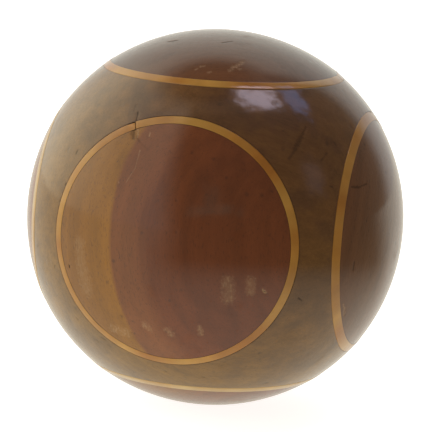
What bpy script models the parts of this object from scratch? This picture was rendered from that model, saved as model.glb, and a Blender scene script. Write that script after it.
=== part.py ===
"""An inlaid wooden lawn bowl: a turned ball with six round plates let into it.

The ball's centre is the origin. The six roundels face along +X, -X, +Y, -Y, +Z and -Z, like
the faces of a cube. X is the axis that the bowl runs about, and the smaller roundel, on -X,
marks its biased side.
"""

import math

import bmesh
import bpy

# Driving dimensions, in metres and degrees.
BODY_RADIUS = 0.0635         # a 5 inch bowl
RECESS_FLOOR = 0.0440        # height of each recess's flat floor above the ball's centre
RING_PROUD = 0.0002          # how far the ring strips stand above the worn body
ROUNDEL_SUNK = 0.0004        # how far a roundel's middle lies below the body's sphere
ROUNDEL_EDGE = 0.0004        # rounding of a roundel's two edges
GLUE_GAP = 0.0003            # room between a piece and its neighbour
JOINT_GAP = 0.0005           # the open butt joint of a ring strip

BALL_SIDES = 64
TURNED_SIDES = 48
DOME_STEPS = 6
RING_TOP_STEPS = 2

# One roundel for each direction: its name, the turn that carries +Z to its direction, the
# angles at the ball's centre of its ring strip's inner and outer edge, and the direction of
# that strip's butt joint round the roundel, from the turned piece's own +X.
QUARTER = math.pi / 2
ROUNDELS = [
    ("front", (QUARTER, 0, 0), 36.9, 39.4, 113),
    ("back", (-QUARTER, 0, 0), 36.9, 39.4, 250),
    ("right", (0, QUARTER, 0), 36.0, 39.0, 170),
    ("left", (0, -QUARTER, 0), 32.3, 35.3, 40),
    ("top", (0, 0, 0), 36.5, 39.0, 5),
    ("bottom", (math.pi, 0, 0), 36.5, 39.0, 310),
]


def clear_scene():
    for obj in list(bpy.data.objects):
        bpy.data.objects.remove(obj)


def make_collection(name):
    collection = bpy.data.collections.new(name)
    bpy.context.scene.collection.children.link(collection)
    return collection


def make_material(name, colour, roughness):
    material = bpy.data.materials.new(name)
    material.use_nodes = True
    shader = material.node_tree.nodes["Principled BSDF"]
    shader.inputs["Base Color"].default_value = (*colour, 1.0)
    shader.inputs["Roughness"].default_value = roughness
    shader.inputs["Metallic"].default_value = 0.0
    return material


def place(obj, collection, parent, turn=(0, 0, 0)):
    for holder in obj.users_collection:
        holder.objects.unlink(obj)
    collection.objects.link(obj)
    obj.rotation_euler = turn
    obj.parent = parent


def as_cutter(obj, collection, parent, turn=(0, 0, 0)):
    place(obj, collection, parent, turn)
    obj.hide_render = True
    obj.display_type = "WIRE"


def cut(obj, cutter):
    boolean = obj.modifiers.new("cut_" + cutter.name, "BOOLEAN")
    boolean.operation = "DIFFERENCE"
    boolean.solver = "EXACT"
    boolean.object = cutter


def circle_height(radius, sphere_radius):
    """Height at which a sphere round the centre has this distance from the axis."""
    return math.sqrt(sphere_radius ** 2 - radius ** 2)


def arc(radius_from, radius_to, sphere_radius, centre_height, steps):
    """Points (distance from the axis, height) along a sphere, evenly spaced by angle."""
    first = math.asin(radius_from / sphere_radius)
    last = math.asin(radius_to / sphere_radius)
    points = []
    for step in range(steps + 1):
        angle = first + (last - first) * step / steps
        height = centre_height + sphere_radius * math.cos(angle)
        points.append((sphere_radius * math.sin(angle), height))
    return points


def turned(name, profile, closed):
    """A piece turned on the lathe: its half section, screwed once round the Z axis."""
    mesh = bpy.data.meshes.new(name)
    outline = bmesh.new()
    verts = [outline.verts.new((radius, 0, height)) for radius, height in profile]
    for first, second in zip(verts, verts[1:]):
        outline.edges.new((first, second))
    if closed:
        outline.edges.new((verts[-1], verts[0]))
    outline.to_mesh(mesh)
    outline.free()
    obj = bpy.data.objects.new(name, mesh)
    screw = obj.modifiers.new("turn", "SCREW")
    screw.axis = "Z"
    screw.angle = 2 * math.pi
    screw.steps = TURNED_SIDES
    screw.render_steps = TURNED_SIDES
    screw.use_merge_vertices = True
    screw.merge_threshold = 0.00001
    screw.use_smooth_shade = True
    return obj


def roundel_profile(edge_radius):
    """From the pole over the dome, down the side and across the flat back."""
    rim_height = circle_height(edge_radius, BODY_RADIUS)
    rise = BODY_RADIUS - ROUNDEL_SUNK - rim_height
    dome_radius = (edge_radius ** 2 + rise ** 2) / (2 * rise)
    dome_centre = BODY_RADIUS - ROUNDEL_SUNK - dome_radius
    back = RECESS_FLOOR + GLUE_GAP
    profile = arc(0, edge_radius - ROUNDEL_EDGE, dome_radius, dome_centre, DOME_STEPS)
    profile.append((edge_radius, rim_height - ROUNDEL_EDGE))
    profile.append((edge_radius, back + ROUNDEL_EDGE))
    profile.append((edge_radius - ROUNDEL_EDGE, back))
    profile.append((0, back))
    return profile


def ring_profile(inner_radius, outer_radius):
    """The strip's section: curved top, outer side, flat bottom edge, inner side."""
    top_sphere = BODY_RADIUS + RING_PROUD
    bottom = RECESS_FLOOR + GLUE_GAP
    profile = arc(inner_radius, outer_radius, top_sphere, 0, RING_TOP_STEPS)
    profile.append((outer_radius, bottom))
    profile.append((inner_radius, bottom))
    return profile


def make_body(collection, cutters, parent, wood):
    bpy.ops.mesh.primitive_uv_sphere_add(
        segments=BALL_SIDES, ring_count=BALL_SIDES // 2, radius=BODY_RADIUS
    )
    body = bpy.context.object
    body.name = "body"
    place(body, collection, parent)
    body.data.shade_smooth()
    body.data.set_sharp_from_angle(angle=math.radians(40))
    body.data.materials.append(wood)
    for name, turn, _, outer_angle, _ in ROUNDELS:
        recess_radius = BODY_RADIUS * math.sin(math.radians(outer_angle)) + GLUE_GAP
        depth = BODY_RADIUS
        bpy.ops.mesh.primitive_cylinder_add(
            vertices=TURNED_SIDES, radius=recess_radius, depth=depth
        )
        cutter = bpy.context.object
        cutter.name = "recess_" + name
        for vert in cutter.data.vertices:
            vert.co.z += RECESS_FLOOR + depth / 2
        as_cutter(cutter, cutters, parent, turn)
        cut(body, cutter)


def make_roundel(name, turn, inner_angle, collection, parent, wood):
    edge_radius = BODY_RADIUS * math.sin(math.radians(inner_angle)) - GLUE_GAP
    roundel = turned("roundel_" + name, roundel_profile(edge_radius), closed=False)
    place(roundel, collection, parent, turn)
    roundel.data.materials.append(wood)


def make_ring(name, turn, angles, joint_angle, collection, cutters, parent, wood):
    inner_radius = BODY_RADIUS * math.sin(math.radians(angles[0]))
    outer_radius = BODY_RADIUS * math.sin(math.radians(angles[1]))
    ring = turned("ring_" + name, ring_profile(inner_radius, outer_radius), closed=True)
    place(ring, collection, parent, turn)
    ring.data.materials.append(wood)

    # The butt joint: a thin blade standing on the strip, across its full height.
    height = BODY_RADIUS / 2
    width = 4 * (outer_radius - inner_radius)
    bpy.ops.mesh.primitive_cube_add(size=1)
    blade = bpy.context.object
    blade.name = "joint_" + name
    middle = (inner_radius + outer_radius) / 2
    for vert in blade.data.vertices:
        x = vert.co.x * width + middle
        y = vert.co.y * JOINT_GAP
        angle = math.radians(joint_angle)
        vert.co.x = x * math.cos(angle) - y * math.sin(angle)
        vert.co.y = x * math.sin(angle) + y * math.cos(angle)
        vert.co.z = vert.co.z * height + BODY_RADIUS * math.cos(math.radians(angles[0]))
    as_cutter(blade, cutters, parent, turn)
    cut(ring, blade)


def main():
    clear_scene()
    parts = make_collection("lawn_bowl")
    cutters = make_collection("cutters")
    centre = bpy.data.objects.new("ball_centre", None)
    parts.objects.link(centre)

    body_wood = make_material("body_wood", (0.115, 0.075, 0.04), 0.3)
    roundel_wood = make_material("roundel_wood", (0.17, 0.07, 0.04), 0.3)
    ring_wood = make_material("ring_wood", (0.50, 0.31, 0.12), 0.35)

    make_body(parts, cutters, centre, body_wood)
    for name, turn, inner, outer, joint in ROUNDELS:
        make_roundel(name, turn, inner, parts, centre, roundel_wood)
        make_ring(name, turn, (inner, outer), joint, parts, cutters, centre, ring_wood)


main()
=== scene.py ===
# %% [markdown]
# # An inlaid wooden lawn bowl
# The bowl is a ball of dark olive-brown hardwood, five inches across, turned on a lathe.
# Six round plates of a redder wood are let into it, facing like the six faces of a cube.
# Each plate lies in its own flat-floored recess, and a thin strip of pale boxwood, bent to a
# ring, closes the line between the plate and the ball.
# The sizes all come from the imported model, so the first step is to load it.

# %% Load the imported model
import math
from functools import partialmethod

import bpy
import numpy as np
from mathutils import Matrix, Vector


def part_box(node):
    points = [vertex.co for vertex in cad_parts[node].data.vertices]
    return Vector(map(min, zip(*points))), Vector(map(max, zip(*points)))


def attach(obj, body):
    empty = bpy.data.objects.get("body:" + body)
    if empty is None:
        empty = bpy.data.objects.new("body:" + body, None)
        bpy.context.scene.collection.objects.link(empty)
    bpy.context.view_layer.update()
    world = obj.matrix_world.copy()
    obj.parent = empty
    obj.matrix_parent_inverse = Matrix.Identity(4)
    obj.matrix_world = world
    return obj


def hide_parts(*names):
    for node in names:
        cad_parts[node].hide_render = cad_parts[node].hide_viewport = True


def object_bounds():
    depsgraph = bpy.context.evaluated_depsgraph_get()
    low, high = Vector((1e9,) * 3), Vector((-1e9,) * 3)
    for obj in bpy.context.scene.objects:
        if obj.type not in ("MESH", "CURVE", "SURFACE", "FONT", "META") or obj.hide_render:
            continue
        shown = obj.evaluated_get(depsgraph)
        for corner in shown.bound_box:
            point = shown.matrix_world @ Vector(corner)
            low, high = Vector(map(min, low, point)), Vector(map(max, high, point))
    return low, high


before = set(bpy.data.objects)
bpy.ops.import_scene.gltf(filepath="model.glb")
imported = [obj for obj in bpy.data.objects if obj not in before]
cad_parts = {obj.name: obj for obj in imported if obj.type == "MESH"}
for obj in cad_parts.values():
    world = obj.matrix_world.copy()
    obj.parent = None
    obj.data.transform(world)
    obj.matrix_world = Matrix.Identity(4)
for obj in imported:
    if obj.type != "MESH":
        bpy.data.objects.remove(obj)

cad_low, cad_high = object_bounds()
print("packed model:", len(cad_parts), "nodes,", round(2000 * cad_high.z, 1), "mm across")

# %% [markdown]
# ## Sizes
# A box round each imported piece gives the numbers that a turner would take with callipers:
# how wide a ring is, how deep its recess goes, how high a plate's middle stands.
# The CAD leaves 0.3 mm of room round each piece. On the real bowl the strips are glued in
# tight, so the fine pieces made here close that room to a thin dark glue line.

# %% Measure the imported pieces
MM = 0.001
CAD_GAP = 0.3 * MM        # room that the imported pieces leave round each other
GLUE_LINE = 0.02 * MM     # what is left of it on the finished pieces
RING_PROUD = 0.2 * MM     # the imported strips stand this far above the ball
WORN_PROUD = 0.05 * MM    # what play and polish have left of that

QUARTER = math.pi / 2
# The turn that carries a piece made facing up, along +Z, to its own direction
TURNS = {
    "front": (QUARTER, 0.0, 0.0),
    "back": (-QUARTER, 0.0, 0.0),
    "right": (0.0, QUARTER, 0.0),
    "left": (0.0, -QUARTER, 0.0),
    "top": (0.0, 0.0, 0.0),
    "bottom": (math.pi, 0.0, 0.0),
}
AXES = {"front": 1, "back": 1, "right": 0, "left": 0, "top": 2, "bottom": 2}


def measure(node, side):
    """A turned CAD piece's radius, and its lowest and highest point along its own axis."""
    low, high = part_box(node)
    axis = AXES[side]
    across = (axis + 1) % 3
    heights = sorted((abs(low[axis]), abs(high[axis])))
    return (high[across] - low[across]) / 2, heights[0], heights[1]


SIZES = {}
for side in TURNS:
    ring_radius, _, ring_top = measure("ring_" + side, side)
    edge_radius, back_height, crown_height = measure("roundel_" + side, side)
    SIZES[side] = {
        "ring_outer": ring_radius,
        "ring_inner": edge_radius + CAD_GAP,
        "ring_top": ring_top,
        "back": back_height,
        "crown": crown_height,
    }
front = SIZES["front"]
BALL_RADIUS = math.hypot(front["ring_inner"], front["ring_top"]) - RING_PROUD
RECESS_FLOOR = front["back"] - CAD_GAP
print("ball radius", round(BALL_RADIUS / MM, 2), "mm, recess floor", round(RECESS_FLOOR / MM, 2))
for side, size in SIZES.items():
    print(side, {name: round(value / MM, 2) for name, value in size.items()})

# %% [markdown]
# ## Sums written as sums
# A node tree does arithmetic with boxes and lines, which is slow to read. This small class
# wraps one output of a node. Adding or multiplying two of them makes the Math node and its
# links, so a rule such as radius times sine can be written the way a textbook writes it.
# A node group's inputs are listed by name, each with its default, or with its socket type
# where it has none.

# %% A wire that does arithmetic


def feed(tree, socket, value):
    """Link a wire to a socket, or set the socket's own value."""
    if isinstance(value, Wire):
        tree.links.new(value.socket, socket)
    else:
        socket.default_value = value


class Wire:
    """One number or vector on its way through a node tree."""

    def __init__(self, tree, socket):
        self.tree = tree
        self.socket = socket

    def calc(self, operation, *others, clamp=False):
        maker = self.tree.nodes.new("ShaderNodeMath")
        maker.operation = operation
        maker.use_clamp = clamp
        for socket, value in zip(maker.inputs, (self, *others)):
            feed(self.tree, socket, value)
        return Wire(self.tree, maker.outputs[0])

    __add__ = __radd__ = partialmethod(calc, "ADD")
    __mul__ = __rmul__ = partialmethod(calc, "MULTIPLY")
    __sub__ = partialmethod(calc, "SUBTRACT")
    __truediv__ = partialmethod(calc, "DIVIDE")
    sin = partialmethod(calc, "SINE")
    cos = partialmethod(calc, "COSINE")
    unsigned = partialmethod(calc, "ABSOLUTE")
    at_least = partialmethod(calc, "MAXIMUM")

    def __rsub__(self, other):
        return (self * -1.0) + other

    def step(self, start, end, low=0.0, high=1.0):
        """A soft step: low up to start, high from end on."""
        ranger = self.tree.nodes.new("ShaderNodeMapRange")
        ranger.interpolation_type = "SMOOTHSTEP"
        for socket, value in zip(ranger.inputs, (self, start, end, low, high)):
            feed(self.tree, socket, value)
        return Wire(self.tree, ranger.outputs[0])

    def vector(self, operation, *others, scale=None, output=0):
        """Vector arithmetic, for wires that carry a vector or a colour."""
        maker = self.tree.nodes.new("ShaderNodeVectorMath")
        maker.operation = operation
        for socket, value in zip(maker.inputs, (self, *others)):
            feed(self.tree, socket, value)
        if scale is not None:
            feed(self.tree, maker.inputs["Scale"], scale)
        return Wire(self.tree, maker.outputs[output])

    plus = partialmethod(vector, "ADD")
    minus = partialmethod(vector, "SUBTRACT")
    dot = partialmethod(vector, "DOT_PRODUCT", output=1)
    away_from = partialmethod(vector, "DISTANCE", output=1)

    def scaled(self, factor):
        return self.vector("SCALE", scale=factor)


def add(tree, kind, inputs=None, output=0, **options):
    """Add a node, set its options and its inputs, and hand back one of its outputs."""
    node = tree.nodes.new(kind)
    for option, value in options.items():
        setattr(node, option, value)
    feed_all(tree, node, inputs or {})
    return Wire(tree, node.outputs[output])


def combine(tree, x, y, z):
    return add(tree, "ShaderNodeCombineXYZ", {"X": x, "Y": y, "Z": z})


def split(tree, vector):
    """The X, Y and Z of a vector wire."""
    node = tree.nodes.new("ShaderNodeSeparateXYZ")
    feed(tree, node.inputs[0], vector)
    return [Wire(tree, output) for output in node.outputs]


def noise(tree, vector, detail, size=1.0, roughness=0.5, output=0):
    """A noise texture of clouds this size: its value, or its colour from output 1."""
    inputs = {"Vector": vector, "Scale": 1 / size, "Detail": detail, "Roughness": roughness}
    return add(tree, "ShaderNodeTexNoise", inputs, output)


SOCKETS = {float: "NodeSocketFloat", int: "NodeSocketInt", tuple: "NodeSocketVector"}


def new_group(name, kind, inputs, outputs):
    """A node group: its tree, a table of its inputs as wires, and its output node."""
    tree = bpy.data.node_groups.new(name, kind)
    for label, default in inputs.items():
        socket_type = SOCKETS.get(type(default), default)
        socket = tree.interface.new_socket(label, in_out="INPUT", socket_type=socket_type)
        if socket_type != default:
            socket.default_value = default
    for label, socket_type in outputs.items():
        tree.interface.new_socket(label, in_out="OUTPUT", socket_type=socket_type)
    source = tree.nodes.new("NodeGroupInput")
    sink = tree.nodes.new("NodeGroupOutput")
    wires = {socket.name: Wire(tree, socket) for socket in source.outputs if socket.name}
    return tree, wires, sink


def feed_all(tree, node, values):
    for label, value in values.items():
        feed(tree, node.inputs[label], value)


def use_group(tree, group, values):
    """Place a group in another tree with its own values, and hand back all its outputs."""
    kind = group.bl_idname.replace("Tree", "Group")
    node = tree.nodes.new(kind)
    node.node_tree = group
    feed_all(tree, node, values)
    return [Wire(tree, output) for output in node.outputs]


print("arithmetic helpers are ready")

# %% [markdown]
# ## A lathe made of nodes
# Everything here was turned, so everything is a section carried round an axis. A flat grid
# can be rolled up: one side of the grid becomes the way round, and the other becomes the
# travel along the section. The section is given by two rules, one for the distance from the
# axis and one for the height. Travelling up the outside and in over the top makes the faces
# point outwards. A third rule measures how far the nearest glue line is, for the finish.

# %% Roll a grid round the axis
FLOAT = "NodeSocketFloat"
VECTOR = "NodeSocketVector"
GEOMETRY = "NodeSocketGeometry"
MATERIAL = "NodeSocketMaterial"
NO_TURN = (0.0, 0.0, 0.0)


def keep_number(tree, geometry, name, value):
    """Store a number on every corner of a mesh, or point of a curve, under a name."""
    inputs = {"Geometry": geometry, "Name": name, "Value": value}
    return add(
        tree, "GeometryNodeStoreNamedAttribute", inputs, data_type="FLOAT", domain="POINT",
    )


def rolled_band(tree, around, rows, section):
    """A band of faces round Z. section(travel, turn) gives radius, height and rim distance."""
    grid = add(
        tree, "GeometryNodeMeshGrid",
        {"Size X": 1.0, "Size Y": 1.0, "Vertices X": around + 1, "Vertices Y": rows + 1},
    )
    x, y, _ = split(tree, add(tree, "GeometryNodeInputPosition"))
    turn = (x + 0.5) * (2 * math.pi)
    radius, height, rim = section(y + 0.5, turn)
    named = keep_number(tree, grid, "rim", rim)
    spot = combine(tree, radius * turn.cos(), radius * turn.sin(), height)
    return add(tree, "GeometryNodeSetPosition", {"Geometry": named, "Position": spot})


def join(tree, bands):
    joiner = tree.nodes.new("GeometryNodeJoinGeometry")
    for band in bands:
        tree.links.new(band.socket, joiner.inputs[0])
    return Wire(tree, joiner.outputs[0])


def along_arc(centre_radius, centre_height, arc_radius, first, last, rim_radius):
    """A section along a circle, from one angle to another, measured from straight up."""
    def section(travel, turn):
        angle = first + travel * (last - first)
        radius = centre_radius + arc_radius * angle.sin()
        height = centre_height + arc_radius * angle.cos()
        return radius, height, (radius - rim_radius).unsigned()
    return section


def along_line(radius_from, height_from, radius_to, height_to, rim):
    """A section along a straight line."""
    def section(travel, turn):
        radius = radius_from + travel * (radius_to - radius_from)
        height = height_from + travel * (height_to - height_from)
        return radius, height, rim
    return section


def turned_shell(tree, around, turn, sections):
    """Roll a band for each pair of rows and section, join them and turn them to their side."""
    bands = [rolled_band(tree, around, rows, section) for rows, section in sections]
    shell = {"Geometry": join(tree, bands), "Rotation": turn}
    return add(tree, "GeometryNodeTransform", shell)


print("the lathe is ready")

# %% [markdown]
# ## Knocks from play
# Bowls knock together, and the wood keeps hundreds of small soft dents. Points are scattered
# over the surface with a fixed seed. Each corner of the mesh then asks for its nearest point:
# if that lies within the dent's own radius, the corner moves in a little. The depth is also
# kept as an attribute, so that the finish can gather dirt in the same places. The same tree
# adds a slow waviness, because old wood is never quite round.

# %% The knocks tree
knocks, wires, sink = new_group(
    "knocks", "GeometryNodeTree",
    {
        "Geometry": GEOMETRY,
        "Knocks per square metre": 9000.0,
        "Smallest": 0.4 * MM,
        "Largest": 1.6 * MM,
        "Depth": 0.06 * MM,
        "Waviness": 0.03 * MM,
        "Seed": 1,
    },
    {"Geometry": GEOMETRY},
)
points = add(
    knocks, "GeometryNodeDistributePointsOnFaces",
    {"Mesh": wires["Geometry"], "Density": wires["Knocks per square metre"],
     "Seed": wires["Seed"]},
)
position = add(knocks, "GeometryNodeInputPosition")
nearest = add(knocks, "GeometryNodeSampleNearest", {"Geometry": points}, domain="POINT")


def at_nearest(value, data_type):
    """What a value is at the nearest scattered point."""
    inputs = {"Geometry": points, "Value": value, "Index": nearest}
    return add(knocks, "GeometryNodeSampleIndex", inputs, data_type=data_type)


random_radius = add(
    knocks, "FunctionNodeRandomValue",
    {2: wires["Smallest"], 3: wires["Largest"], "Seed": wires["Seed"]},
    output=1, data_type="FLOAT",
)
own_radius = at_nearest(random_radius, "FLOAT")
away = position.away_from(at_nearest(position, "FLOAT_VECTOR")) / own_radius
hollow = (1.0 - away * away).at_least(0.0)
hollow = hollow * hollow
swell = noise(knocks, position, 2.0, size=22 * MM)
inwards = hollow * wires["Depth"] * (own_radius / wires["Largest"]) + swell * wires["Waviness"]
offset = add(knocks, "GeometryNodeInputNormal").scaled(inwards * -1.0)
marked = keep_number(knocks, wires["Geometry"], "knock", hollow)
moved = add(knocks, "GeometryNodeSetPosition", {"Geometry": marked, "Offset": offset})
feed(knocks, sink.inputs[0], moved)
print("knocks tree:", len(knocks.nodes), "nodes")

# %% [markdown]
# ## One face of the ball
# The ball is one piece of wood with six recesses. Seen from its centre it splits into six
# equal faces, as if a cube were blown up to a sphere. One face runs from the edge of that
# cube face in to the rim, over the worn lip, down the wall and across the floor. Its outer
# border follows a rule: a cube's side at the angle phi lies at the slope
# 1 / max(|cos phi|, |sin phi|). Six copies then meet corner to corner and weld into one skin.

# %% The recess face tree
AROUND = 384  # faces round each recess and roundel
recess_face, wires, sink = new_group(
    "recess_face", "GeometryNodeTree",
    {
        "Ball radius": 0.06,
        "Rim radius": 0.04,
        "Floor height": 0.044,
        "Lip rounding": 0.10 * MM,
        "Around": AROUND,
        "Turn": NO_TURN,
    },
    {"Geometry": GEOMETRY},
)
ball = wires["Ball radius"]
rim_radius = wires["Rim radius"]
lip = wires["Lip rounding"]
rim_angle = ((rim_radius + lip) / (ball - lip)).calc("ARCSINE")
lip_height = (ball - lip) * rim_angle.cos()


def skin_section(travel, turn):
    longest = turn.cos().unsigned().at_least(turn.sin().unsigned())
    border_angle = longest.calc("POWER", -1.0).calc("ARCTANGENT")
    angle = border_angle + travel * (rim_angle - border_angle)
    return ball * angle.sin(), ball * angle.cos(), (angle - rim_angle) * ball


floor_height = wires["Floor height"]
middle = rim_radius * 0.0
SKIN_ROWS = 26
LIP_ROWS = 4
WALL_ROWS = 3
FLOOR_ROWS = 2
over_lip = along_arc(rim_radius + lip, lip_height, lip, rim_angle, -QUARTER, rim_radius)
down_wall = along_line(rim_radius, lip_height, rim_radius, floor_height, 0.0)
across_floor = along_line(rim_radius, floor_height, middle, floor_height, 0.0)
feed(recess_face, sink.inputs[0], turned_shell(recess_face, wires["Around"], wires["Turn"], [
    (SKIN_ROWS, skin_section),
    (LIP_ROWS, over_lip),
    (WALL_ROWS, down_wall),
    (FLOOR_ROWS, across_floor),
]))
print("recess face tree:", len(recess_face.nodes), "nodes")

# %% [markdown]
# ## The whole ball
# The ball's tree places the face six times, each with its own rim, welds the borders, adds
# the knocks and ends in a material.

# %% The ball tree and the baking helper
ball_tree, wires, sink = new_group(
    "turned_ball", "GeometryNodeTree",
    {
        "Geometry": GEOMETRY,
        "Ball radius": 0.06,
        "Floor height": 0.044,
        "Around": AROUND,
        "Seed": 1,
        "Material": MATERIAL,
        **{"Rim " + side: 0.04 for side in TURNS},
    },
    {"Geometry": GEOMETRY},
)
faces = []
for side, turn in TURNS.items():
    shared = {label: wires[label] for label in ("Ball radius", "Floor height", "Around")}
    own = {"Rim radius": wires["Rim " + side], "Turn": turn}
    faces += use_group(ball_tree, recess_face, {**shared, **own})
WELD = 0.004 * MM
SHARP = math.radians(50)


def finish_tree(tree, geometry, seed, material, sink, knock_values):
    """Weld the bands, knock the surface about, smooth it and give it its material."""
    welded = add(tree, "GeometryNodeMergeByDistance", {"Geometry": geometry, "Distance": WELD})
    knocked, = use_group(tree, knocks, {"Geometry": welded, "Seed": seed, **knock_values})
    smooth = add(tree, "GeometryNodeSetShadeSmooth", {"Geometry": knocked})
    real = add(tree, "GeometryNodeRealizeInstances", {"Geometry": smooth})
    final = add(tree, "GeometryNodeSetMaterial", {"Geometry": real, "Material": material})
    feed(tree, sink.inputs[0], final)


finish_tree(ball_tree, join(ball_tree, faces), wires["Seed"], wires["Material"], sink, {})


def put_in_scene(name, data):
    thing = bpy.data.objects.new(name, data)
    bpy.context.scene.collection.objects.link(thing)
    return thing


def grow(name, tree, values):
    """Run a tree on an empty mesh and keep the result as a plain mesh object."""
    holder = put_in_scene(name + "_maker", bpy.data.meshes.new(name + "_maker"))
    maker = holder.modifiers.new("maker", "NODES")
    maker.node_group = tree
    for item in tree.interface.items_tree:
        if item.item_type == "SOCKET" and item.in_out == "INPUT" and item.name in values:
            maker[item.identifier] = values[item.name]
    depsgraph = bpy.context.evaluated_depsgraph_get()
    mesh = bpy.data.meshes.new_from_object(holder.evaluated_get(depsgraph))
    mesh.name = name
    mesh.set_sharp_from_angle(angle=SHARP)
    bpy.data.objects.remove(holder)
    piece = put_in_scene(name, mesh)
    triangles = sum(len(face.vertices) - 2 for face in mesh.polygons)
    print(name, "has", triangles, "triangles")
    return piece


print("ball tree:", len(ball_tree.nodes), "nodes")

# %% [markdown]
# ## A roundel
# A roundel is a plug: flat back, straight side, a slightly softened edge and a domed face.
# The dome is part of a bigger or smaller sphere than the ball, because the plates have been
# polished down a little in the middle. Its radius follows from the rise of the dome:
# R = (edge squared + rise squared) / (2 rise). The softened edge is an arc that leaves the
# side upright and meets the dome at the dome's own slope, so there is no crease.

# %% The roundel tree
EDGE_ROUNDING = 0.12 * MM
roundel_tree, wires, sink = new_group(
    "roundel", "GeometryNodeTree",
    {
        "Geometry": GEOMETRY,
        "Edge radius": 0.038,
        "Rim height": 0.05,
        "Crown height": 0.063,
        "Back height": 0.044,
        "Edge rounding": EDGE_ROUNDING,
        "Around": AROUND,
        "Turn": NO_TURN,
        "Seed": 1,
        "Material": MATERIAL,
    },
    {"Geometry": GEOMETRY},
)
edge = wires["Edge radius"]
rounding = wires["Edge rounding"]
back = wires["Back height"]
middle = edge * 0.0
rise = wires["Crown height"] - wires["Rim height"]
dome_radius = (edge * edge + rise * rise) / (rise * 2.0)
dome_centre = wires["Crown height"] - dome_radius
edge_angle = ((edge - rounding) / (dome_radius - rounding)).calc("ARCSINE")
edge_centre = dome_centre + (dome_radius - rounding) * edge_angle.cos()
DOME_ROWS = 104
sections = [
    (2, along_line(middle, back, edge - rounding, back, 0.0)),
    (1, along_line(edge - rounding, back, edge, back + rounding, 0.0)),
    (2, along_line(edge, back + rounding, edge, edge_centre, 0.0)),
    (4, along_arc(edge - rounding, edge_centre, rounding, QUARTER, edge_angle, edge)),
    (DOME_ROWS, along_arc(0.0, dome_centre, dome_radius, edge_angle, middle, edge)),
]
turned = turned_shell(roundel_tree, wires["Around"], wires["Turn"], sections)
finish_tree(roundel_tree, turned, wires["Seed"], wires["Material"], sink,
            {"Knocks per square metre": 6000.0, "Depth": 0.04 * MM})
print("roundel tree:", len(roundel_tree.nodes), "nodes")

# %% [markdown]
# ## A ring strip
# A ring is one straight strip of boxwood, steamed, bent round and butted end to end. That is
# a curve with a section swept along it, so the tree draws an arc that stops short of itself
# by the width of the open joint and sweeps a rounded rectangle along it. The top is then
# lifted to follow the ball, a hair above it. Close to the joint the two ends have sprung
# apart a little. The length along the strip is kept, so that the grain can follow the bend.

# %% The ring tree
STRIP_POINTS = 480
ring_tree, wires, sink = new_group(
    "ring_strip", "GeometryNodeTree",
    {
        "Geometry": GEOMETRY,
        "Inner radius": 0.038,
        "Outer radius": 0.040,
        "Bottom height": 0.044,
        "Top sphere": 0.0637,
        "Joint angle": 0.0,
        "Joint gap": 0.25 * MM,
        "Corner rounding": 0.05 * MM,
        "Sway": 0.04 * MM,
        "Spring": 0.10 * MM,
        "Points": STRIP_POINTS,
        "Turn": NO_TURN,
        "Seed": 1,
        "Material": MATERIAL,
    },
    {"Geometry": GEOMETRY},
)
inner = wires["Inner radius"]
outer = wires["Outer radius"]
bottom = wires["Bottom height"]
middle = (inner + outer) * 0.5
half_gap = wires["Joint gap"] / middle * 0.5
arc = add(
    ring_tree, "GeometryNodeCurveArc",
    {"Resolution": wires["Points"], "Radius": middle,
     "Start Angle": wires["Joint angle"] + half_gap,
     "Sweep Angle": 2 * math.pi - half_gap * 2.0},
    mode="RADIUS",
)
length = add(ring_tree, "GeometryNodeSplineParameter", output=1)
measured = keep_number(ring_tree, arc, "along", length)
upright = add(ring_tree, "GeometryNodeSetCurveNormal", {"Curve": measured}, mode="Z_UP")
NOMINAL_HEIGHT = 6 * MM
section = add(
    ring_tree, "GeometryNodeCurvePrimitiveQuadrilateral",
    {"Width": outer - inner, "Height": NOMINAL_HEIGHT}, mode="RECTANGLE",
)
rounded = add(
    ring_tree, "GeometryNodeFilletCurve",
    {"Curve": section, "Count": 3, "Radius": wires["Corner rounding"], "Limit Radius": True},
    mode="POLY",
)
strip = add(
    ring_tree, "GeometryNodeCurveToMesh",
    {"Curve": upright, "Profile Curve": rounded, "Fill Caps": True},
)
position = add(ring_tree, "GeometryNodeInputPosition")
x, y, z = split(ring_tree, position)
radius = (x * x + y * y).calc("SQRT")
along = add(ring_tree, "GeometryNodeInputNamedAttribute", {"Name": "along"}, data_type="FLOAT")
whole = middle * (2 * math.pi)
SPRING_REACH = 4 * MM
SQUEEZE = 0.06     # how much the strip's width wanders, as a share of it
END_TAPER = 0.10   # how much narrower its first end is
first_end = along.step(0.0, SPRING_REACH, 1.0, 0.0)
last_end = (whole - along).step(0.0, SPRING_REACH, 1.0, 0.0)
shuffle = combine(ring_tree, wires["Seed"] * 0.13, wires["Seed"] * 0.29, 0.0)
shuffled = position.plus(shuffle)
sway = noise(ring_tree, shuffled, 1.0, size=14 * MM) - 0.5
squeeze = noise(ring_tree, shuffled.plus((1.0, 1.0, 1.0)), 2.0, size=9 * MM) - 0.5
shift = sway * wires["Sway"] + (last_end - first_end) * wires["Spring"]
narrower = (radius - middle) * (squeeze * SQUEEZE - first_end * END_TAPER)
new_radius = radius + shift + narrower
stretch = new_radius / radius
sphere = wires["Top sphere"]
top = (sphere * sphere - new_radius * new_radius).calc("SQRT")
share = z / NOMINAL_HEIGHT + 0.5
height = bottom + share * (top - bottom)
spot = combine(ring_tree, x * stretch, y * stretch, height)
shaped = add(ring_tree, "GeometryNodeSetPosition", {"Geometry": strip, "Position": spot})
to_border = (outer - inner) * 0.5 - (radius - middle).unsigned()
edged = keep_number(ring_tree, shaped, "rim", to_border)
turned = add(
    ring_tree, "GeometryNodeTransform", {"Geometry": edged, "Rotation": wires["Turn"]},
)
finish_tree(ring_tree, turned, wires["Seed"], wires["Material"], sink,
            {"Depth": 0.03 * MM, "Waviness": 0.01 * MM, "Largest": 1.0 * MM})
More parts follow.
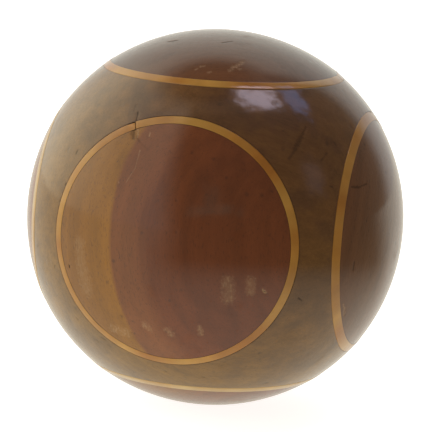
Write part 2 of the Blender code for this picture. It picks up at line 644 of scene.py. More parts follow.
print("ring tree:", len(ring_tree.nodes), "nodes")

# %% [markdown]
# ## Marks that belong to this bowl
# Some marks can be named one by one: a long scratch, the cracks that run from the front
# ring's joint, chips and pits. Each is written down once, as two bearings on the ball with a
# width and a depth. A bearing is degrees round from the front towards the right, then
# degrees up. The same list presses the mesh and darkens, or bleaches, the finish. The pale
# ring round one pit on the front roundel is a painted highlight.

# %% The list of marks


def bearing(round_degrees, up_degrees):
    """A point on the ball from its bearing."""
    sideways = math.radians(round_degrees)
    up = math.radians(up_degrees)
    direction = Vector((
        math.sin(sideways) * math.cos(up), -math.cos(sideways) * math.cos(up), math.sin(up),
    ))
    return direction * BALL_RADIUS


# Each mark: start, end, half width in mm, depth in mm, and how dark (or, below 0, how pale).
MARKS = {
    "body": [
        ((46.8, 37.3), (43.5, 34.0), 0.45, 0.12, 0.48),
        ((43.8, 34.4), (40.3, 30.6), 0.85, 0.14, 0.46),
        ((42.4, 32.4), (37.6, 27.6), 0.55, 0.10, 0.40),
        ((41.0, -26.7), (42.2, -26.7), 3.40, 0.00, 0.14),
        ((52.4, 28.9), (49.2, 26.6), 0.40, 0.05, 0.35),
        ((50.9, 19.1), (51.8, 18.9), 0.35, 0.05, 0.45),
        ((57.0, 32.1), (57.4, 31.2), 0.30, 0.05, 0.40),
        ((41.0, -13.3), (42.4, -14.2), 0.30, 0.08, 0.60),
        ((-37.8, 13.7), (-38.0, 13.1), 0.35, 0.10, 0.70),
        ((-37.3, 23.9), (-37.6, 22.8), 0.30, 0.08, 0.60),
        ((-39.1, 8.5), (-39.2, 8.0), 0.30, 0.08, 0.60),
        ((-40.9, -11.3), (-41.5, -12.2), 0.30, 0.06, 0.45),
        ((-51.7, -7.4), (-52.2, -8.0), 0.30, 0.06, 0.45),
        ((-26.2, -32.9), (-25.0, -33.6), 0.35, 0.06, 0.45),
        ((-29.8, -34.7), (-29.2, -35.4), 0.35, 0.06, 0.45),
        ((-36.2, -27.6), (-35.6, -28.2), 0.38, 0.06, 0.50),
        ((-2.6, -43.4), (-2.0, -43.6), 0.32, 0.06, 0.50),
        ((-24.6, -35.6), (-23.8, -35.9), 0.30, 0.06, 0.40),
        ((12.6, -44.6), (13.6, -44.8), 0.35, 0.05, 0.40),
        ((-18.4, 39.0), (-17.6, 36.2), 0.30, 0.10, 0.65),
        ((-21.0, 41.5), (-20.6, 39.2), 0.25, 0.04, 0.30),
    ],
    "roundel_front": [
        ((-16.9, 34.1), (-16.2, 30.8), 0.80, 0.15, 0.50),
        ((-15.9, 32.0), (-13.0, 29.8), 0.45, 0.10, 0.30),
        ((-13.0, 29.8), (-9.6, 28.0), 0.35, 0.06, 0.18),
        ((-17.6, 33.0), (-17.4, 31.6), 0.30, 0.05, 0.35),
        ((-15.3, 33.4), (-14.6, 31.2), 0.30, 0.05, -0.45),
        ((-10.6, 33.2), (-10.4, 32.0), 0.28, 0.05, -0.50),
        ((-12.2, 27.4), (-12.3, 21.9), 0.22, 0.02, -0.35),
        ((-12.3, 21.9), (-14.3, 17.6), 0.22, 0.02, -0.30),
        ((-16.9, 17.3), (-16.8, 17.0), 0.25, 0.02, -0.45),
        ((-33.4, -10.0), (-33.3, -10.5), 0.38, 0.12, 0.85),
        ((-28.6, -2.1), (-28.0, -9.0), 2.20, 0.02, -0.34),
        ((-28.0, -9.0), (-26.9, -16.7), 2.60, 0.02, -0.38),
        ((-18.8, -28.3), (-14.4, -28.9), 2.00, 0.03, -0.55),
        ((-6.8, -24.7), (-5.2, -26.2), 1.20, 0.03, -0.48),
        ((0.8, -25.6), (2.2, -27.3), 1.15, 0.03, -0.48),
        ((11.3, -24.0), (11.7, -26.0), 1.00, 0.03, -0.45),
        ((18.9, -8.4), (19.5, -13.6), 2.10, 0.02, -0.42),
        ((25.6, -8.0), (25.9, -11.2), 1.70, 0.02, -0.38),
        # A pit low on the front roundel: a pale ring round it, which is a painted highlight, and a
        # dark middle.
        ((29.5, -10.7), (30.4, -11.5), 0.55, 0.08, -0.85),
        ((30.0, -11.1), (30.1, -11.1), 0.20, 0.10, 0.90),
    ],
    "roundel_top": [
        ((-46.1, 70.0), (-40.3, 72.0), 0.40, 0.12, 0.75),
        ((10.4, 74.3), (21.9, 75.9), 0.35, 0.10, 0.60),
        ((0.9, 59.4), (2.6, 59.9), 0.60, 0.02, -0.40),
        ((5.8, 56.9), (7.2, 57.2), 0.55, 0.02, -0.40),
        ((-1.4, 57.6), (-0.6, 58.2), 0.45, 0.02, -0.35),
        ((17.6, 58.5), (20.6, 60.9), 0.90, 0.04, -0.50),
        ((21.2, 60.5), (26.3, 63.1), 0.85, 0.04, -0.50),
        ((23.0, 59.2), (24.0, 59.6), 0.55, 0.02, -0.35),
    ],
    "roundel_right": [
        ((59.9, 18.3), (63.3, 17.9), 0.45, 0.10, 0.60),
        ((63.3, 17.9), (67.4, 18.6), 0.35, 0.08, 0.50),
        ((60.1, -3.7), (60.1, -6.1), 0.35, 0.08, 0.60),
        ((60.4, -18.2), (61.2, -20.6), 0.60, 0.06, -0.60),
        ((59.0, -16.9), (59.6, -17.6), 0.40, 0.04, -0.55),
    ],
    "ring_front": [
        ((-17.9, 37.0), (-17.2, 34.9), 0.30, 0.10, 0.55),
        ((-20.3, 35.3), (-18.3, 36.0), 0.90, 0.02, 0.22),
    ],
}


PRESS_REACH = 1.6     # a mark is pressed in over this many times its half width
OUTER_SHARE = 0.97    # corners deeper than this share of the radius stay as they are


def press_marks(piece, marks):
    """Push the mesh in along each mark, deepest along its middle."""
    mesh = piece.data
    flat = np.empty(len(mesh.vertices) * 3)
    mesh.vertices.foreach_get("co", flat)
    spots = flat.reshape(-1, 3)
    distance_out = np.linalg.norm(spots, axis=1)
    on_ball = spots / distance_out[:, None] * BALL_RADIUS
    sunk = np.zeros(len(spots))
    for start, end, half_width, depth, _ in marks:
        first = np.array(bearing(*start))
        run = np.array(bearing(*end)) - first
        share = np.clip((on_ball - first) @ run / (run @ run), 0.0, 1.0)
        away = np.linalg.norm(on_ball - first - share[:, None] * run, axis=1)
        reach = np.clip(1.0 - (away / (half_width * MM * PRESS_REACH)) ** 2, 0.0, 1.0)
        sunk = np.maximum(sunk, reach ** 2 * depth * MM)
    sunk[distance_out < BALL_RADIUS * OUTER_SHARE] = 0.0
    spots *= (1.0 - sunk / distance_out)[:, None]
    mesh.vertices.foreach_set("co", spots.ravel())
    mesh.update()
    print(piece.name, "has", int((sunk > 0).sum()), "corners pressed in")


print(sum(len(marks) for marks in MARKS.values()), "named marks")

# %% [markdown]
# ## Shared finishes
# All the pieces are wood under the same old varnish, so they share their effects. Each
# effect is a node group built once, with its own named values, and every finish places it.
# Wood figure comes in layers: slow growth bands, streaks drawn out along the grain, and the
# short dark dashes of open pores.

# %% The grain group
grain, wires, sink = new_group(
    "grain", "ShaderNodeTree",
    {
        "Place": VECTOR,
        "Pith distance": 0.057,
        "Streak width": 0.5 * MM,
        "Streak length": 9 * MM,
        "Band width": 3 * MM,
        "Pore width": 0.25 * MM,
        "Pore length": 1.8 * MM,
        "Pore share": 0.4,
        "Warp": 1.0 * MM,
    },
    {"Across": FLOAT, "Streaks": FLOAT, "Bands": FLOAT, "Pores": FLOAT},
)
place = wires["Place"]
BAND_LENGTH = 90 * MM
WARP_SIZE = (14 * MM, 34 * MM, 14 * MM)
PORE_LEVEL = 0.72
PORE_RANGE = 0.25
PORE_EDGE = 0.08
slow = place.vector("DIVIDE", WARP_SIZE)
warp = (noise(grain, slow, 2.0) - 0.5) * wires["Warp"] * 2.0
x, y, z = split(grain, place)
to_pith = wires["Pith distance"] - x
across = (to_pith * to_pith + y * y).calc("SQRT") + warp


def stretched(width, length):
    return combine(grain, across / width, y / length, z / width)


long_streaks = stretched(wires["Streak width"], wires["Streak length"])
streaks = noise(grain, long_streaks, 3.0, roughness=0.6)
bands = noise(grain, stretched(wires["Band width"], BAND_LENGTH), 1.5)
pore_noise = noise(grain, stretched(wires["Pore width"], wires["Pore length"]), 1.0)
pore_start = PORE_LEVEL - wires["Pore share"] * PORE_RANGE
pores = pore_noise.step(pore_start, pore_start + PORE_EDGE)
feed_all(grain, sink, {"Across": across, "Streaks": streaks, "Bands": bands, "Pores": pores})
print("grain group:", len(grain.nodes), "nodes")

# %% [markdown]
# A mark in the finish is a soft line between two points, with a ragged edge. The group
# measures how far a place on the ball is from the line, and gives a mask. "Broken" breaks the
# mark up into specks, for places where the varnish is only grazed.

# %% The mark group
mark_group, wires, sink = new_group(
    "mark", "ShaderNodeTree",
    {
        "Place": VECTOR,
        "From": (0.0, 0.0, 0.0),
        "To": (0.0, 0.0, 0.001),
        "Half width": 0.4 * MM,
        "Ragged": 0.5 * MM,
        "Broken": 0.0,
    },
    {"Mask": FLOAT},
)
place = wires["Place"]
SPECK_SIZE = (0.7 * MM, 0.7 * MM, 1.5 * MM)
ragged = noise(mark_group, place, 2.0, size=0.9 * MM, output=1).minus((0.5, 0.5, 0.5))
torn = place.plus(ragged.scaled(wires["Ragged"] * 2.0))
run = wires["To"].minus(wires["From"])
reach = torn.minus(wires["From"])
share = reach.dot(run).calc("DIVIDE", run.dot(run), clamp=True)
away = reach.away_from(run.scaled(share))
mask = away.step(wires["Half width"] * 0.3, wires["Half width"] * 1.4, 1.0, 0.0)
specks = noise(mark_group, place.vector("DIVIDE", SPECK_SIZE), 2.0).step(0.44, 0.66)
feed(mark_group, sink.inputs["Mask"], mask * (1.0 - wires["Broken"] * (1.0 - specks)))
print("mark group:", len(mark_group.nodes), "nodes")

# %% [markdown]
# Dirt gathers where glue lines and dents hold it. Both were measured when the meshes were
# made: "rim" is the distance to the nearest glue line and "knock" is how deep in a dent a
# place is.

# %% The dirt group
dirt_group, wires, sink = new_group(
    "dirt", "ShaderNodeTree",
    {"Place": VECTOR, "Line reach": 0.5 * MM, "Knock dirt": 0.5},
    {"Dirt": FLOAT},
)


def kept_number(tree, name):
    """Read back a number that was stored on the mesh."""
    return add(tree, "ShaderNodeAttribute", output=2, attribute_name=name)


patchy = noise(dirt_group, wires["Place"], 3.0, size=5 * MM)
line_reach = wires["Line reach"] * patchy.step(0.3, 0.7, 0.5, 1.5)
line = kept_number(dirt_group, "rim").step(0.0, line_reach, 1.0, 0.0)
in_knocks = kept_number(dirt_group, "knock").step(0.2, 1.0)
held = in_knocks * patchy.step(0.42, 0.56) * wires["Knock dirt"]
feed(dirt_group, sink.inputs["Dirt"], line.at_least(held))
print("dirt group:", len(dirt_group.nodes), "nodes")

# %% [markdown]
# The varnish is thin and old. It is clear and glossy in most places, rubbed dull in others,
# and crossed by hairline scratches. The group gives how much varnish is left, how rough the
# surface is, and a small height for a Bump node.

# %% The varnish group
varnish, wires, sink = new_group(
    "varnish", "ShaderNodeTree",
    {"Place": VECTOR, "Rubbed": 0.3, "Roughness": 0.4, "Damage": 0.0},
    {"Coat": FLOAT, "Roughness": FLOAT, "Height": FLOAT},
)
place = wires["Place"]
HAIR_LENGTH = 9 * MM
HAIR_SPACING = 4 * MM
# Three sets of hairlines: the turn of each, and its width in mm
HAIR_SETS = (((0.3, 0.2, 0.9), 0.12), ((1.2, 0.5, 2.3), 0.10), ((0.7, 2.0, 1.4), 0.14))
cloud = noise(varnish, place, 4.0, size=11 * MM, roughness=0.6)
worn_share = wires["Rubbed"] * 0.5
rubbed = cloud.step(0.75 - worn_share, 0.95 - worn_share)
hairs = 0.0
for turn, width in HAIR_SETS:
    turned = add(varnish, "ShaderNodeMapping", {
        "Vector": place, "Rotation": turn,
        "Scale": (1 / (width * MM), 1 / HAIR_LENGTH, 1 / HAIR_SPACING)})
    hairs = noise(varnish, turned, 0.0).step(0.66, 0.74).at_least(hairs)
peel = noise(varnish, place, 3.0, size=1.9 * MM, roughness=0.55)
pits = add(
    varnish, "ShaderNodeTexVoronoi", {"Vector": place, "Scale": 1 / (2.3 * MM)},
).step(0.05, 0.16, 1.0, 0.0)
damage = wires["Damage"].at_least(pits * 0.5)
feed_all(varnish, sink, {
    "Coat": 1.0 - (rubbed * 0.35).at_least(damage),
    "Roughness": wires["Roughness"] + rubbed * 0.12 + damage * 0.25 + (peel - 0.5) * 0.15,
    "Height": peel * 2.0 - hairs * 0.3 - damage * 0.8,
})
print("varnish group:", len(varnish.nodes), "nodes")

# %% [markdown]
# ## Putting a wood finish together
# A finish starts from a ramp of colours. What drives the ramp is the distance from the pith,
# the middle of the tree, because heartwood, sapwood and the rings between them all lie at
# their own distance from it. Streaks and pores then lighten and darken that colour, dirt and
# marks go over it, and the varnish covers all. One function does this for every wood, and
# each wood brings its own numbers.

# %% The finish builder


def mix_colour(tree, mask, first, second, way="MIX"):
    node = tree.nodes.new("ShaderNodeMix")
    node.data_type = "RGBA"
    node.blend_type = way
    for socket, value in zip((node.inputs[0], node.inputs[6], node.inputs[7]),
                             (mask, first, second)):
        if isinstance(value, tuple) and len(value) == 3:
            value = (*value, 1.0)
        feed(tree, socket, value)
    return Wire(tree, node.outputs[2])


def ramp(tree, factor, stops):
    node = tree.nodes.new("ShaderNodeValToRGB")
    feed(tree, node.inputs[0], factor)
    elements = node.color_ramp.elements
    while len(elements) < len(stops):
        elements.new(0.5)
    for element, (spot, colour) in zip(elements, stops):
        element.position = spot
        element.color = (*colour, 1.0)
    return Wire(tree, node.outputs[0])


RAGGED_SHARE = 0.9    # a mark's outline wanders by this share of its width
DARK_BROKEN = 0.2     # dark marks are nearly whole
PALE_BROKEN = 0.70    # the most that a pale one is broken into specks


def mark_masks(tree, place, marks):
    """The dark and the pale marks of one piece, as two masks."""
    on_ball = place.vector("NORMALIZE").scaled(BALL_RADIUS)
    masks = {True: 0.0, False: 0.0}
    for start, end, half_width, _, strength in marks:
        mask, = use_group(tree, mark_group, {
            "Place": on_ball, "From": bearing(*start), "To": bearing(*end),
            "Half width": half_width * MM, "Ragged": half_width * MM * RAGGED_SHARE,
            "Broken": DARK_BROKEN if strength > 0 else min(PALE_BROKEN, -1.3 * strength),
        })
        dark = strength > 0
        masks[dark] = (mask * abs(strength)).at_least(masks[dark])
    return masks[True], masks[False]


# Colour of the pale marks: bleached wear, and round one pit a painted highlight.
PALE_WEAR_AND_HIGHLIGHT = (0.50, 0.33, 0.19)
GRIME = (0.020, 0.014, 0.009)
COAT_ROUGHNESS = 0.10
COAT_IOR = 1.5
WOOD_SPECULAR = 0.08
RELIEF_HEIGHT = 0.06 * MM
FLECK_RELIEF = 0.3
PORE_RELIEF = 0.5


def new_finish(name):
    """A material, with its tree and the place on the piece that its patterns start from."""
    material = bpy.data.materials.new(name)
    material.use_nodes = True
    tree = material.node_tree
    return material, tree, add(tree, "ShaderNodeTexCoord", output=3)


def dirty(tree, place, colour, reach, knock_dirt, strength, dirt_colour):
    """Lay dirt over a colour, along the glue lines and in the dents."""
    inputs = {"Place": place, "Line reach": reach * MM, "Knock dirt": knock_dirt}
    dirt, = use_group(tree, dirt_group, inputs)
    return mix_colour(tree, dirt * strength, colour, dirt_colour)


def varnished(tree, place, colour, damage, relief, bump, rubbed, roughness):
    """Lay the old varnish over a colour, and feed the material's own shader."""
    coat, rough, height = use_group(tree, varnish, {
        "Place": place, "Rubbed": rubbed, "Roughness": roughness, "Damage": damage})
    uneven = add(tree, "ShaderNodeBump", {
        "Height": height + relief, "Strength": bump, "Distance": RELIEF_HEIGHT})
    feed_all(tree, tree.nodes["Principled BSDF"], {
        "Base Color": colour,
        "Roughness": rough,
        "Coat Weight": coat,
        "Normal": uneven,
        "Coat Roughness": COAT_ROUGHNESS,
        "Coat IOR": COAT_IOR,
        "Specular IOR Level": WOOD_SPECULAR,
    })


def wood_finish(name, turn, stops, look, marks=()):
    """A wood: its direction, its ramp from the pith outwards, and its other numbers."""
    material, tree, place = new_finish(name)
    # Two turns: the first lays the piece face up, the second puts the pith on its +X side.
    level = add(tree, "ShaderNodeMapping",
                {"Vector": place, "Rotation": tuple(-angle for angle in turn)})
    laid = add(tree, "ShaderNodeMapping",
               {"Vector": level, "Rotation": (0.0, 0.0, -look["pith side"])})
    across, streaks, bands, pores = use_group(tree, grain, {
        "Place": laid, "Pith distance": look["pith"], "Streak width": look["streak"] * MM,
        "Streak length": look["streak length"] * MM, "Band width": look["band"] * MM,
        "Pore share": look["pores"], "Warp": look["warp"] * MM,
    })
    first, last = look["ramp reach"]
    shifted = across + (bands - 0.5) * look["band shift"] * MM
    colour = ramp(tree, (shifted - first) / (last - first), stops)
    shade = 1.0 + (streaks - 0.5) * look["streak contrast"] + (bands - 0.5) * look["band contrast"]
    colour = colour.scaled(shade)
    if "tint" in look:
        cloudy = noise(tree, laid, 3.0, size=look["tint size"] * MM).step(0.42, 0.62)
        colour = mix_colour(tree, cloudy, colour, look["tint"], "MULTIPLY")
    colour = mix_colour(tree, pores * look["pore depth"], colour, look["pore colour"])
    dark, pale = mark_masks(tree, place, marks)
    # Pale marks: bleached wear, and on the front roundel also the painted highlight round a pit.
    colour = mix_colour(tree, pale, colour, PALE_WEAR_AND_HIGHLIGHT)
    colour = mix_colour(tree, dark, colour, GRIME)
    damage = dark.at_least(pale) if marks else 0.0
    colour = dirty(tree, place, colour, look["line reach"], look["knock dirt"],
                   look["dirt"], GRIME)
    relief = streaks * FLECK_RELIEF - pores * look["pore depth"] * PORE_RELIEF
    varnished(tree, place, colour, damage, relief, look["bump"], look["rubbed"],
              look["roughness"])
    print("finish", name, "uses", len(tree.nodes), "nodes")
    return material


print("finish builder is ready")

# %% [markdown]
# ## The body's wood
# The ball is a heavy, oily, olive-brown wood with interlocked grain, full of short dark
# green-brown flecks. Its ramp is gentle, from a darker, redder brown towards the upper right
# to a lighter, yellower olive towards the lower left, and most of its look comes from flecks,
# cloudy tint and streaks.

# %% Body finish
COMMON = {
    "streak": 0.7, "streak length": 14.0, "streak contrast": 0.28,
    "band": 4.0, "band contrast": 0.60, "band shift": 2.0, "warp": 1.0,
    "pores": 0.45, "pore depth": 0.45, "pore colour": (0.05, 0.025, 0.012),
    "line reach": 0.32, "dirt": 0.38, "knock dirt": 1.0, "rubbed": 0.3,
    "roughness": 0.42, "bump": 0.6,
}
# The body's colour is darker towards the upper right and lighter towards the lower left.
to_darker_side = bearing(40, 45).normalized()
up_grain = to_darker_side.cross(bearing(10, -30)).normalized()
body_turn = Matrix((to_darker_side, up_grain, to_darker_side.cross(up_grain))).to_euler()
body_finish = wood_finish(
    "body_wood", tuple(-angle for angle in body_turn),
    [
        (0.00, (0.152, 0.066, 0.020)),
        (0.12, (0.166, 0.074, 0.020)),
        (0.30, (0.200, 0.095, 0.021)),
        (0.45, (0.216, 0.107, 0.021)),
        (0.60, (0.262, 0.136, 0.024)),
        (1.00, (0.255, 0.136, 0.023)),
    ],
    {
        **COMMON, "pith side": 0.0, "pith": 0.11, "ramp reach": (0.047, 0.173),
        "streak": 0.8, "streak length": 5.0, "streak contrast": 0.60,
        "pores": 0.55, "pore depth": 0.38, "pore colour": (0.075, 0.045, 0.012),
        "tint": (0.78, 0.78, 0.95), "tint size": 13.0, "warp": 3.0,
    },
    MARKS["body"],
)

# %% [markdown]
# ## The roundels' wood
# Each roundel is cut from the same reddish timber, but from its own place in the tree, so
# each has its own pith side and its own ramp. The front one crosses from dark red heartwood
# to tan sapwood, with a crisp step between two rings. The others are mostly heartwood.

# %% Roundel finishes
HEART = (0.200, 0.055, 0.015)
HEART_DARK = (0.165, 0.046, 0.015)
MIDDLE = (0.245, 0.083, 0.024)
SAP = (0.335, 0.143, 0.014)
OUTER_SAP = (0.280, 0.118, 0.014)
PURPLE = (0.150, 0.058, 0.022)
GREYED = (0.180, 0.082, 0.032)

ROUNDEL_LOOKS = {
    "front": ([
        (0.00, (0.190, 0.052, 0.015)), (0.45, HEART_DARK), (0.62, HEART),
        (0.72, MIDDLE), (0.815, (0.240, 0.082, 0.022)), (0.835, SAP), (1.00, OUTER_SAP),
    ], {"pith side": 0.065, "pith": 0.057, "ramp reach": (0.018, 0.0885), "band shift": 1.2}),
    "back": ([
        (0.00, HEART), (0.45, MIDDLE), (0.60, HEART), (0.85, HEART_DARK), (1.00, HEART),
    ], {"pith side": 2.2, "pith": 0.062, "ramp reach": (0.020, 0.10)}),
    "right": ([
        (0.00, GREYED), (0.40, (0.200, 0.075, 0.026)), (0.70, GREYED), (1.00, PURPLE),
    ], {"pith side": 1.2, "pith": 0.070, "ramp reach": (0.030, 0.11)}),
    "left": ([
        (0.00, MIDDLE), (0.50, HEART), (1.00, HEART_DARK),
    ], {"pith side": -0.8, "pith": 0.066, "ramp reach": (0.025, 0.105)}),
    "top": ([
        (0.00, (0.190, 0.070, 0.022)), (0.30, (0.120, 0.050, 0.024)),
        (0.55, (0.095, 0.044, 0.024)), (0.85, (0.120, 0.050, 0.024)), (1.00, (0.180, 0.068, 0.022)),
    ], {"pith side": -1.3, "pith": 0.060, "ramp reach": (0.020, 0.10)}),
    "bottom": ([
        (0.00, SAP), (0.22, MIDDLE), (0.55, HEART), (1.00, HEART_DARK),
    ], {"pith side": 1.9, "pith": 0.058, "ramp reach": (0.018, 0.095)}),
}
roundel_finishes = {}
for side, (stops, look) in ROUNDEL_LOOKS.items():
    roundel_finishes[side] = wood_finish(
        "roundel_wood_" + side, TURNS[side], stops, {**COMMON, **look},
        MARKS.get("roundel_" + side, ()),
    )

# %% [markdown]
# ## The rings' wood
# Boxwood is pale, close and even, and the old varnish has turned it honey yellow. Its grain
# runs along the strip, so its place is not taken from the ball's own axes but from the
# length kept along the bend. Its two borders are a little darker, where glue soaked in.

# %% Ring finish
RING_PALE = (0.730, 0.400, 0.080)
RING_DEEP = (0.530, 0.205, 0.022)
RING_BARE = (0.860, 0.580, 0.220)
RING_BARE_DEEP = (0.740, 0.420, 0.110)
RING_CRACK = (0.09, 0.055, 0.03)
RING_GLUE = (0.12, 0.05, 0.015)
# Sizes across, along and down into the strip
FIBRE_SIZE = (0.16 * MM, 7 * MM, 0.5 * MM)
STRETCH_SIZE = (1.2 * MM, 24 * MM, 1.0)


def ring_finish(name, marks=(), pale=RING_PALE, deep=RING_DEEP):
    material, tree, place = new_finish(name)
    along = kept_number(tree, "along")
    rim = kept_number(tree, "rim")
    out = place.vector("LENGTH", output=1)
    bent = combine(tree, rim, along, out)
    fine = noise(tree, bent.vector("DIVIDE", FIBRE_SIZE), 3.0)
    flat = combine(tree, rim, along, 0.0)
    wide = noise(tree, flat.vector("DIVIDE", STRETCH_SIZE), 2.0)
    colour = mix_colour(tree, wide.step(0.3, 0.7), deep, pale)
    colour = colour.scaled(1.0 + (fine - 0.5) * 0.5)
    dark, _ = mark_masks(tree, place, marks)
    colour = mix_colour(tree, dark, colour, RING_CRACK)
    colour = dirty(tree, place, colour, 0.35, 0.5, 0.30, RING_GLUE)
    varnished(tree, place, colour, dark, fine * FLECK_RELIEF, bump=0.5, rubbed=0.3, roughness=0.42)
    print("finish", name, "uses", len(tree.nodes), "nodes")
    return material


ring_finishes = {side: ring_finish("ring_wood_" + side) for side in ("back", "right", "top")}
ring_finishes["front"] = ring_finish("ring_wood_front", MARKS["ring_front"])
# The left and the bottom strip are worn and bleached paler than the others.
for side in ("left", "bottom"):
    ring_finishes[side] = ring_finish("ring_wood_" + side, (), RING_BARE, RING_BARE_DEEP)

# %% [markdown]
# ## Make the body
# Each tree now runs once on an empty mesh, and the result is kept as a plain mesh. The piece
# takes over from the plain CAD solid, which is hidden, and rides on the root body.

# %% The body


def hand_over(piece, node):
    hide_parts(node)
    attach(piece, "root")


body_values = {
    "Ball radius": BALL_RADIUS, "Floor height": RECESS_FLOOR, "Seed": 11,
    "Material": body_finish,
}
for side, size in SIZES.items():
    body_values["Rim " + side] = size["ring_outer"] + GLUE_LINE
body = grow("turned_body", ball_tree, body_values)
press_marks(body, MARKS["body"])
hand_over(body, "body")

# %% [markdown]
# ## Make the roundels
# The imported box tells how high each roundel's middle stands. The knocks tree only ever moves
# the surface inwards, so the finished dome never rises past the size that was checked.

# %% The six roundels
for number, (side, size) in enumerate(SIZES.items()):
    edge_radius = size["ring_inner"] - GLUE_LINE
    roundel = grow("roundel_" + side + "_inlay", roundel_tree, {
        "Edge radius": edge_radius,
        "Rim height": math.sqrt(BALL_RADIUS ** 2 - edge_radius ** 2),
        "Crown height": size["crown"],
        "Back height": size["back"],
        "Turn": TURNS[side],
        "Seed": 21 + number,
        "Material": roundel_finishes[side],
    })
    press_marks(roundel, MARKS.get("roundel_" + side, ()))
    hand_over(roundel, "roundel_" + side)

# %% [markdown]
# ## Make the rings
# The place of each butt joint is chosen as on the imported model.

# %% The six rings
JOINTS = {"front": 113, "back": 250, "right": 170, "left": 40, "top": 5, "bottom": 310}
for number, (side, size) in enumerate(SIZES.items()):
    ring = grow("ring_" + side + "_strip", ring_tree, {
        "Inner radius": size["ring_inner"],
        "Outer radius": size["ring_outer"],
        "Bottom height": size["back"],
        "Top sphere": BALL_RADIUS + WORN_PROUD,
        "Joint angle": math.radians(JOINTS[side]),
        "Turn": TURNS[side],
        "Seed": 41 + number,
        "Material": ring_finishes[side],
    })
    press_marks(ring, MARKS.get("ring_" + side, ()))
    hand_over(ring, "ring_" + side)

# %% [markdown]
# ## The camera
# The camera looks a little down on the bowl, from a little to the right of the front, with a
# long lens, and is tilted a few degrees. The same three angles also give the room its axes.

# %% The camera
DEGREE = math.pi / 180
LOOK_ROUND = math.radians(14.25)
LOOK_DOWN = math.radians(10.28)
TILT = math.radians(3.33)
toward = Vector((
    math.sin(LOOK_ROUND) * math.cos(LOOK_DOWN),
    -math.cos(LOOK_ROUND) * math.cos(LOOK_DOWN),
    math.sin(LOOK_DOWN),
))
level_right = Vector((math.cos(LOOK_ROUND), math.sin(LOOK_ROUND), 0.0))
level_up = toward.cross(level_right)
room_right = level_right * math.cos(TILT) + level_up * math.sin(TILT)
room_up = toward.cross(room_right)
CAMERA_DISTANCE = 952.5 * MM
AIM_RIGHT = 0.2 * MM
AIM_UP = 0.27 * MM
camera_data = bpy.data.cameras.new("camera")
camera_data.sensor_width = 36.0
camera_data.lens = 236.0
camera_data.clip_start = 0.01
camera_data.clip_end = 50.0
camera = put_in_scene("camera", camera_data)
axes = Matrix((room_right, room_up, toward)).transposed().to_4x4()
eye = toward * CAMERA_DISTANCE + room_right * AIM_RIGHT + room_up * AIM_UP
camera.matrix_world = Matrix.Translation(eye) @ axes
bpy.context.scene.camera = camera
print("camera", round(CAMERA_DISTANCE * 1000), "mm away")

# %% [markdown]
# ## The floor
# The bowl stands on a plain white light table, which keeps only a faint contact shadow. To
# every ray but the camera's the floor shows another glow: painted light, which the varnish
# mirrors and which lights the bowl from below. It is bright close by and behind, a little
# darker under the bowl as a painted shadow, and falls off into painted shade in front and to
# the right, from a hand's breadth away.

# %% The floor
floor_mesh = bpy.data.meshes.new("floor")
HALF = 6.0
# The floor's glow for all but the camera: lit, and in painted shade.
LIT_TABLE = (0.92, 0.87, 0.75)
SHADED_TABLE_GLOW = (0.22, 0.18, 0.13)
SEEN_TABLE = (0.88, 0.875, 0.86)
SEEN_PAINT = (0.80, 0.80, 0.80)
BLACK = (0.0, 0.0, 0.0)
floor_z = cad_low.z
corners = [(-HALF, -HALF), (HALF, -HALF), (HALF, HALF), (-HALF, HALF)]
floor_mesh.from_pydata([(x, y, floor_z) for x, y in corners], [], [(0, 1, 2, 3)])
floor = put_in_scene("floor", floor_mesh)
floor_finish, tree, spot = new_finish("floor_white")
ahead = spot.dot(toward)
beside = spot.dot(level_right)
distance = (ahead * ahead + beside * beside).calc("SQRT")
round_about = beside.calc("ARCTAN2", ahead) / DEGREE
DARK_BEARING = 45.0
# Painted shade: the glow falls off to dark in front and to the right of the bowl.
in_dark = (round_about - DARK_BEARING).unsigned().step(60.0, 88.0, 1.0, 0.0)
far_off = distance.step(75 * MM, 270 * MM)
# Painted shadow: the glow is a little darker within 60 mm of the bowl's foot, under the bowl.
under = distance.step(0.0, 60 * MM, 0.8, 1.0)
table_light = mix_colour(tree, in_dark * far_off, LIT_TABLE, SHADED_TABLE_GLOW).scaled(under)
seen_by_camera = add(tree, "ShaderNodeLightPath", output=0)
feed_all(tree, tree.nodes["Principled BSDF"], {
    "Base Color": mix_colour(tree, seen_by_camera, BLACK, SEEN_PAINT),
    "Emission Color": mix_colour(tree, seen_by_camera, table_light, SEEN_TABLE),
    "Emission Strength": 1.0,
    "Roughness": 0.9,
    "Specular IOR Level": 0.0,
})
floor_mesh.materials.append(floor_finish)
print("floor at", round(floor_z / MM, 2), "mm")

# %% [markdown]
# ## The studio
# A varnished ball shows the whole room in small. This room has bright walls behind and to
# the left, a greyer one to the right and a dark ceiling, and it is dark in front, where the
# onlooker stands. Two windows stand high on the right, a dim one lower down, and two faint
# panes straight ahead. All are painted straight on the world, by bearings in degrees: round
# from the camera's side, and up. The camera itself sees only a plain white backdrop.

# %% The room's light
world = bpy.data.worlds.new("studio")
world.use_nodes = True
bpy.context.scene.world = world
tree = world.node_tree
background = tree.nodes["Background"]
direction = add(tree, "ShaderNodeTexCoord", output=0)
sideways = direction.dot(room_right)
round_about = sideways.calc("ARCTAN2", direction.dot(toward)) / DEGREE
up_angle = direction.dot(room_up).calc("ARCSINE") / DEGREE


def patch(centre, half, soft):
    """A soft-edged patch of the room, between two bearings."""
    (round_centre, up_centre), (round_half, up_half) = centre, half
    wide = (round_about - round_centre).unsigned()
    tall = (up_angle - up_centre).unsigned()
    return (wide.step(round_half - soft, round_half + soft, 1.0, 0.0)
            * tall.step(up_half - soft, up_half + soft, 1.0, 0.0))


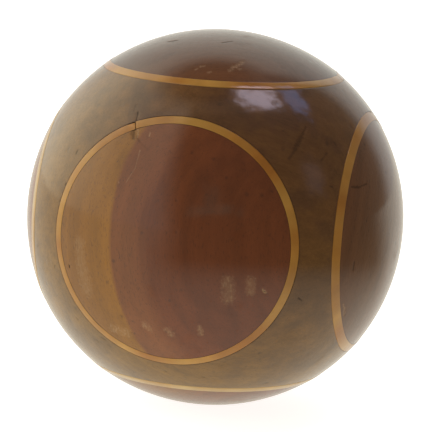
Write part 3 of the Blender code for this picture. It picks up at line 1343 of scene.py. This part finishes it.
def window(centre, half, lean, soft):
    """A window: a leaning rectangle with round corners and an uneven outline."""
    round_centre, up_centre = (math.radians(angle) for angle in centre)
    middle = (room_right * math.sin(round_centre) * math.cos(up_centre)
              + toward * math.cos(round_centre) * math.cos(up_centre)
              + room_up * math.sin(up_centre))
    flat = room_up.cross(middle).normalized()
    rising = middle.cross(flat)
    lean = math.radians(lean)
    wide_axis = flat * math.cos(lean) + rising * math.sin(lean)
    tall_axis = middle.cross(wide_axis)
    half_wide, half_tall = (math.sin(math.radians(angle)) for angle in half)
    wide = (direction.dot(wide_axis) / half_wide).unsigned().calc("POWER", 3.0)
    tall = (direction.dot(tall_axis) / half_tall).unsigned().calc("POWER", 3.0)
    reach = (wide + tall).calc("POWER", 1 / 3) + (uneven - 0.5) * 2.6
    return reach.step(1 - soft, 1 + soft, 1.0, 0.0) * direction.dot(middle).step(0.0, 0.2)


# Leaves and curtains outside make the windows' outlines uneven.
uneven = noise(tree, direction, 4.0, size=0.05)
WALL = (0.94, 0.91, 0.81)
# Each light lies over the ones before it. The last is all that the camera itself sees.
ROOM_LIGHTS = (
    (sideways.step(0.1, 0.7), (0.75, 0.72, 0.68)),
    (patch((-60, 25), (25, 40), 12), (0.97, 0.92, 0.86)),
    (patch((-109, 31), (33, 27), 18), (1.80, 1.68, 1.34)),
    (up_angle.step(60.0, 76.0), (0.10, 0.09, 0.08)),
    (patch((51, 20), (80, 50), 9), (0.23, 0.18, 0.13)),
    (window((66, 68.5), (9.0, 6.8), -33, 0.35), (4.4, 3.9, 4.7)),
    (window((97, 56), (8.6, 5.0), 36, 0.35), (0.68, 1.00, 1.8)),
    (window((65, 20), (6, 8), 0, 0.5), (0.40, 0.40, 0.46)),
    (window((-3, 3), (14, 2.8), 0, 0.4), (0.16, 0.37, 0.32)),
    (window((-3, 10), (4, 6), 0, 0.5), (0.18, 0.32, 0.27)),
    (add(tree, "ShaderNodeLightPath", output=0), (1.0, 1.0, 1.0)),
)
light = WALL
for mask, colour in ROOM_LIGHTS:
    light = mix_colour(tree, mask, light, colour)
feed(tree, background.inputs["Color"], light)
background.inputs["Strength"].default_value = 1.0
bpy.context.scene.view_settings.view_transform = "Standard"
print("studio:", len(tree.nodes), "nodes")
